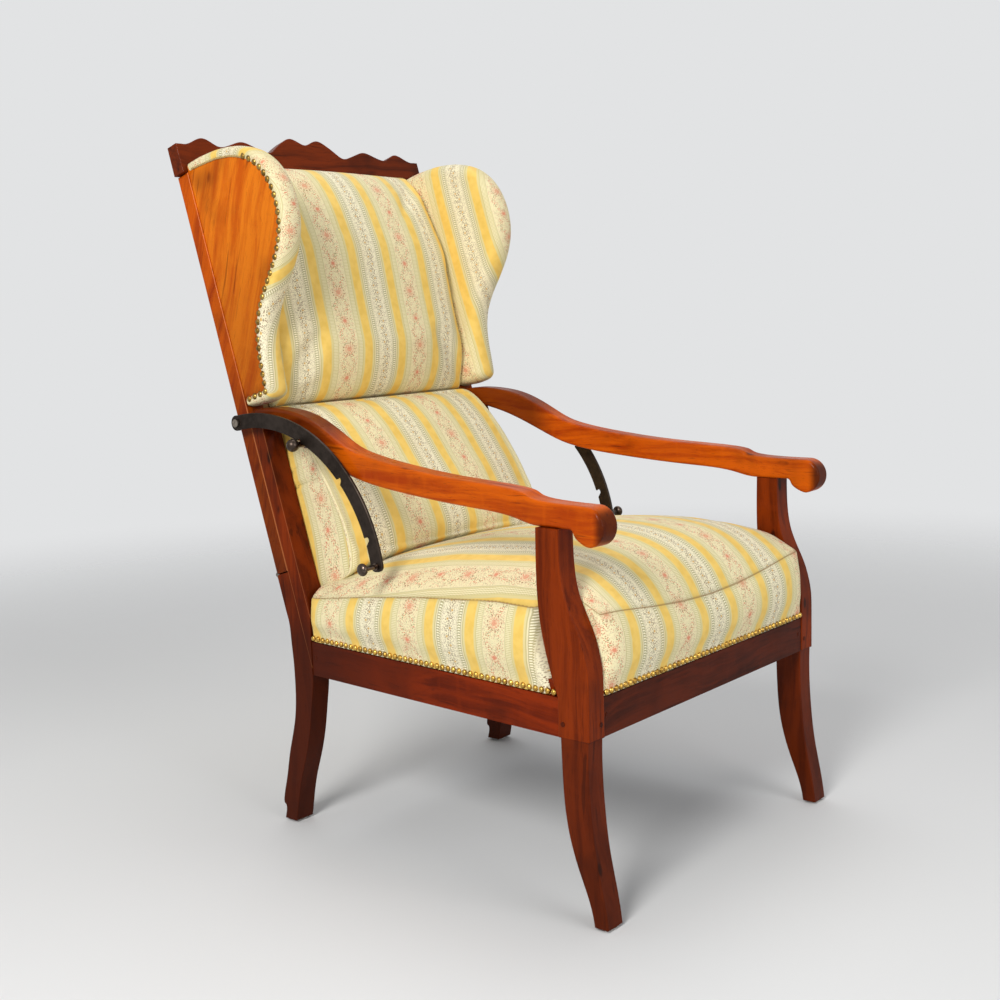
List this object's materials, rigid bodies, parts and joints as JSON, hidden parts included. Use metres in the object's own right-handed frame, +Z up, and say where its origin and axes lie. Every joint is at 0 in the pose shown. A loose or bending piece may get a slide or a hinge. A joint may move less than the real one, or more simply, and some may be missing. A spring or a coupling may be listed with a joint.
{
  "type": "wingback chair",
  "caption": "Reclining wing chair with scrolled open arms, a waved crest, a sprung seat and a hinged back held by notched steel bars resting on ball-headed studs.",
  "frame": {"origin": "on the floor under the middle of the chair's overall box, back upright", "axes": "+Z up, +Y to the rear of the chair (it faces -Y), +X to the sitter's left"},
  "size_m": [0.6644, 0.8797, 1.1284],
  "materials": {
    "dark_wood": "glossy varnish, red-brown",
    "polished_wood": "glossy varnish, orange-brown",
    "plain_wood": "plain, unpolished",
    "striped_cover": "woven cotton with stripes and small sprays",
    "jute_webbing": "coarse woven jute",
    "coarse_cloth": "coarse plain weave",
    "plain_steel": "dull",
    "browned_steel": "dark patina, worn bright on the edges",
    "nail_brass": "antique, dull",
    "white_metal": "plain"
  },
  "bodies": {
    "frame": {"front_leg_right": "dark_wood", "front_leg_left": "dark_wood", "rear_leg_right": "dark_wood", "rear_leg_left": "dark_wood", "front_seat_rail": "dark_wood", "rear_seat_rail": "dark_wood", "side_seat_rail_right": "dark_wood", "side_seat_rail_left": "dark_wood", "corner_blocks": "plain_wood", "tenon_pegs": "plain_wood", "arm_right": "polished_wood", "arm_left": "polished_wood", "seat_webbing": "jute_webbing", "seat_springs": "plain_steel", "seat_hessian": "coarse_cloth", "seat_cushion": "striped_cover", "bottoming_cloth": "coarse_cloth", "seat_nails": "nail_brass", "foot_glides": "white_metal", "ratchet_studs": "browned_steel", "hinge_fixed_leaves": "plain_steel", "hinge_fixed_screws": "plain_steel"},
    "back": {"back_stile_right": "dark_wood", "back_stile_left": "dark_wood", "crest_rail": "dark_wood", "back_middle_rail": "plain_wood", "back_bottom_rail": "plain_wood", "wing_panel_right": "polished_wood", "wing_panel_left": "polished_wood", "wing_pad_right": "striped_cover", "wing_pad_left": "striped_cover", "wing_nails": "nail_brass", "upper_back_pad": "striped_cover", "lower_back_pad": "striped_cover", "back_webbing": "jute_webbing", "outside_back_cover": "striped_cover", "hinge_moving_leaves": "plain_steel", "hinge_moving_screws": "plain_steel", "hinge_pins": "plain_steel", "ratchet_pivots": "browned_steel"},
    "ratchet_bar_right": {"ratchet_bar_right": "browned_steel", "ratchet_knob_right": "browned_steel"},
    "ratchet_bar_left": {"ratchet_bar_left": "browned_steel", "ratchet_knob_left": "browned_steel"}
  },
  "joints": [
    {"name": "back_recline", "type": "hinge", "parent": "frame", "child": "back", "pos_m": [0, 0.22883, 0.411], "axis": [-1, 0, 0], "range_deg": [0, 50]},
    {"name": "right_ratchet_lift", "type": "hinge", "parent": "back", "child": "ratchet_bar_right", "pos_m": [-0.2947, 0.28171, 0.6556], "axis": [-1, 0, 0], "range_deg": [-1.9, 18]},
    {"name": "left_ratchet_lift", "type": "hinge", "parent": "back", "child": "ratchet_bar_left", "pos_m": [0.2947, 0.28171, 0.6556], "axis": [-1, 0, 0], "range_deg": [-1.9, 18]}
  ]
}
